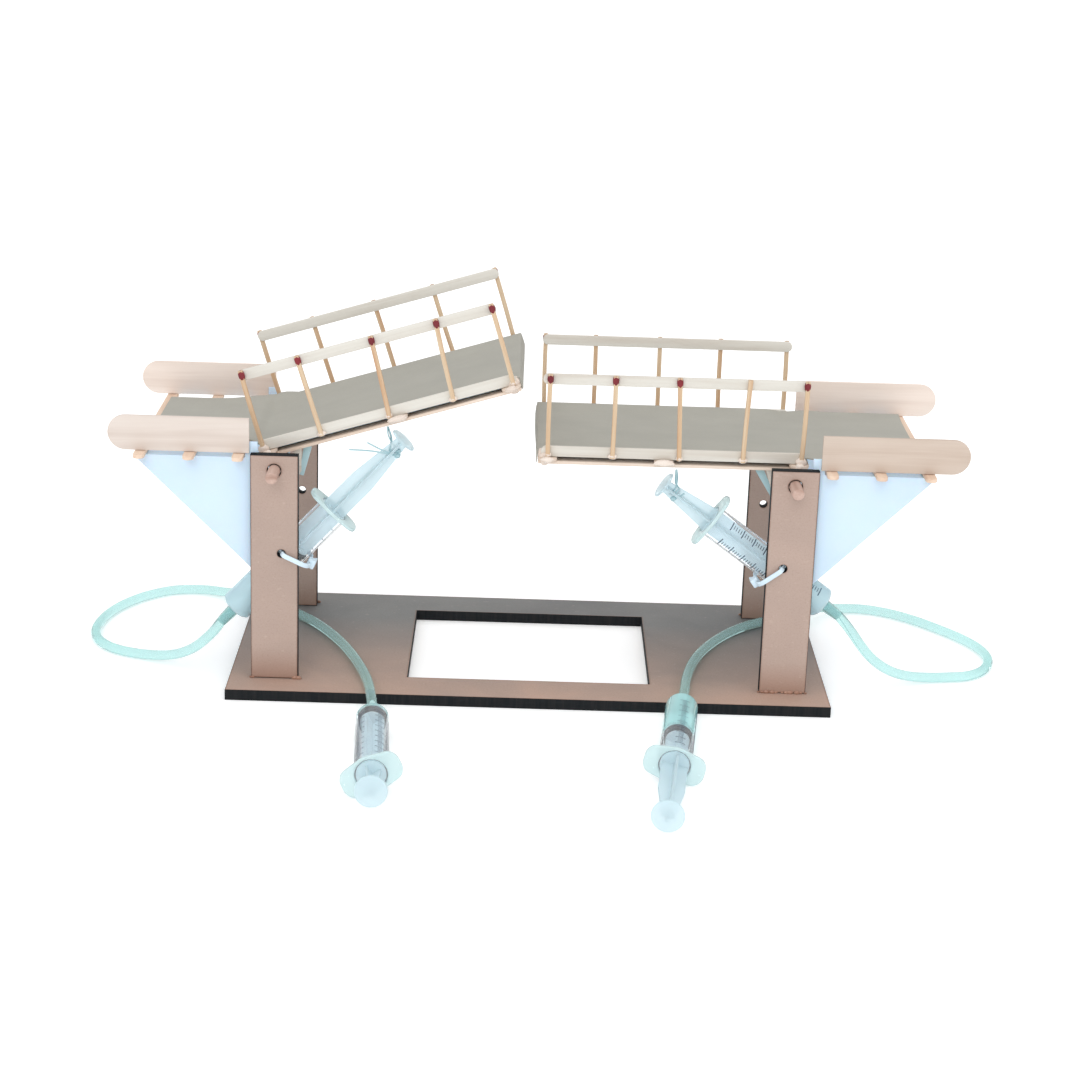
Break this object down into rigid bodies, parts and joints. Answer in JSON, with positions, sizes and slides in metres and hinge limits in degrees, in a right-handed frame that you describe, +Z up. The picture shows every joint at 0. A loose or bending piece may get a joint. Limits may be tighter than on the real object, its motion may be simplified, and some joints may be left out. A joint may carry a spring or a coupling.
{
  "type": "hydraulic lifting bridge kit",
  "caption": "Craft-stick lifting bridge on a fibreboard base: hinged leaves with match railings between fixed approaches, each raised by a syringe and hose from a hand syringe.",
  "frame": {"origin": "middle of the footprint of the base, the approaches and the hand syringes, without the hoses, on the table", "axes": "+X along the bridge towards the bank with the level leaf, -Y towards the hand syringes, +Z up"},
  "size_m": [0.4766, 0.3096, 0.197],
  "materials": {
    "fibreboard": "satin",
    "dowel": "satin",
    "craft_stick": "matte",
    "match_wood": "matte",
    "white_card": "matte",
    "grey_card": "matte",
    "clear_plastic": "gloss",
    "seal_rubber": "satin",
    "nylon": "satin",
    "hose_pvc": "gloss"
  },
  "bodies": {
    "root": {"base_plate": "fibreboard", "left_tower_front": "fibreboard", "left_tower_back": "fibreboard", "left_axle": "dowel", "left_card_bracket": "white_card", "left_road_bed": "white_card", "left_road_card": "grey_card", "left_approach_stick_1": "craft_stick", "left_approach_stick_2": "craft_stick", "left_approach_stick_3": "craft_stick", "left_side_board_front": "craft_stick", "left_side_board_back": "craft_stick", "left_master_barrel": "clear_plastic", "left_hose": "hose_pvc", "right_tower_front": "fibreboard", "right_tower_back": "fibreboard", "right_axle": "dowel", "right_card_bracket": "white_card", "right_road_bed": "white_card", "right_road_card": "grey_card", "right_approach_stick_1": "craft_stick", "right_approach_stick_2": "craft_stick", "right_approach_stick_3": "craft_stick", "right_side_board_front": "craft_stick", "right_side_board_back": "craft_stick", "right_master_barrel": "clear_plastic", "right_hose": "hose_pvc"},
    "left_leaf": {"left_deck_card": "grey_card", "left_long_stick_front": "craft_stick", "left_long_stick_back": "craft_stick", "left_cross_stick_1": "craft_stick", "left_cross_stick_2": "craft_stick", "left_cross_stick_3": "craft_stick", "left_railing_front": "match_wood", "left_railing_back": "match_wood", "left_anchor_loop": "nylon", "left_pivot_sleeve": "nylon"},
    "left_slave_barrel": {"left_slave_barrel": "clear_plastic", "left_slave_tie": "nylon"},
    "left_slave_plunger": {"left_slave_plunger": "clear_plastic", "left_slave_seal": "seal_rubber"},
    "left_master_plunger": {"left_master_plunger": "clear_plastic", "left_master_seal": "seal_rubber"},
    "right_leaf": {"right_deck_card": "grey_card", "right_long_stick_front": "craft_stick", "right_long_stick_back": "craft_stick", "right_cross_stick_1": "craft_stick", "right_cross_stick_2": "craft_stick", "right_cross_stick_3": "craft_stick", "right_railing_front": "match_wood", "right_railing_back": "match_wood", "right_anchor_loop": "nylon", "right_pivot_sleeve": "nylon"},
    "right_slave_barrel": {"right_slave_barrel": "clear_plastic", "right_slave_tie": "nylon"},
    "right_slave_plunger": {"right_slave_plunger": "clear_plastic", "right_slave_seal": "seal_rubber"},
    "right_master_plunger": {"right_master_plunger": "clear_plastic", "right_master_seal": "seal_rubber"}
  },
  "joints": [
    {"name": "left_leaf_hinge", "type": "hinge", "parent": "root", "child": "left_leaf", "pos_m": [-0.129, 0.07454, 0.1136], "axis": [0, -1, 0], "range_deg": [-17, 0]},
    {"name": "left_slave_tilt", "type": "hinge", "parent": "root", "child": "left_slave_barrel", "pos_m": [-0.1255, 0.03104, 0.0713], "axis": [0, -1, 0], "range_deg": [-11.38, 0]},
    {"name": "left_slave_slide", "type": "slide", "parent": "left_slave_barrel", "child": "left_slave_plunger", "axis": [0.6797, 0, 0.7335], "range_m": [-0.01058, 0]},
    {"name": "left_master_slide", "type": "slide", "parent": "root", "child": "left_master_plunger", "axis": [-0.0575, 0.9973, -0.045], "range_m": [-0.01058, 0]},
    {"name": "right_leaf_hinge", "type": "hinge", "parent": "root", "child": "right_leaf", "pos_m": [0.1254, 0.07454, 0.1136], "axis": [0, 1, 0], "range_deg": [0, 36]},
    {"name": "right_slave_tilt", "type": "hinge", "parent": "root", "child": "right_slave_barrel", "pos_m": [0.1219, 0.03104, 0.0713], "axis": [0, 1, 0], "range_deg": [0, 23.43]},
    {"name": "right_slave_slide", "type": "slide", "parent": "right_slave_barrel", "child": "right_slave_plunger", "axis": [-0.8109, 0, 0.5852], "range_m": [0, 0.02049]},
    {"name": "right_master_slide", "type": "slide", "parent": "root", "child": "right_master_plunger", "axis": [0.101, 0.9947, -0.0186], "range_m": [0, 0.02049]}
  ],
  "couplings": [
    {"joint": "left_slave_tilt", "follows": "left_leaf_hinge", "ratio": 0.668},
    {"joint": "left_slave_slide", "follows": "left_leaf_hinge", "m_per_rad": 0.03558},
    {"joint": "left_master_slide", "follows": "left_leaf_hinge", "m_per_rad": 0.03558},
    {"joint": "right_slave_tilt", "follows": "right_leaf_hinge", "ratio": 0.6502},
    {"joint": "right_slave_slide", "follows": "right_leaf_hinge", "m_per_rad": 0.03258},
    {"joint": "right_master_slide", "follows": "right_leaf_hinge", "m_per_rad": 0.03258}
  ]
}
